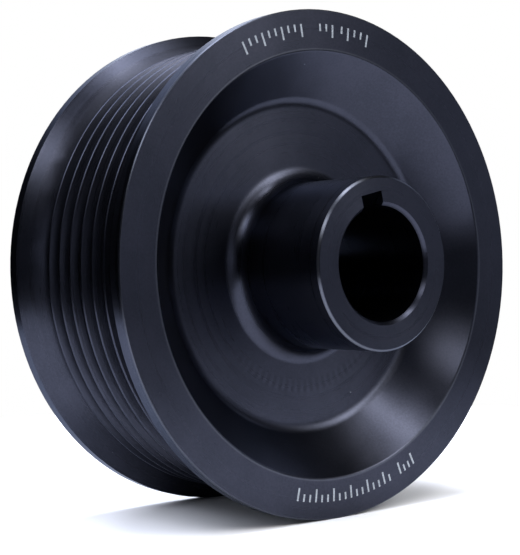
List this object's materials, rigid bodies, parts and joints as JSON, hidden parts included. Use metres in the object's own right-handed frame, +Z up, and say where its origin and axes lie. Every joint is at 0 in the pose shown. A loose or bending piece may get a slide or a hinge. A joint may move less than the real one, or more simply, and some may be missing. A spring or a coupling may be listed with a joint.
{
  "type": "ribbed belt pulley",
  "caption": "Flanged ribbed belt pulley with a dished face and a keyed hub that stands out in front, for a supercharger's input shaft.",
  "frame": {"origin": "on the axis of rotation, in the middle plane of the belt's grooves, inside the bore", "axes": "+Y along the axis of rotation towards the rear recess, -Y towards the hub's nose and the dished face, +Z up with the pulley standing on its flanges, +X to the right as seen from the front"},
  "size_m": [0.0908, 0.0487, 0.0908],
  "materials": {
    "black_anodised": "turned billet, satin black hard anodised",
    "laser_mark": "laser-etched through the anodising, pale matt grey"
  },
  "bodies": {
    "root": {"pulley": "black_anodised"}
  },
  "joints": []
}
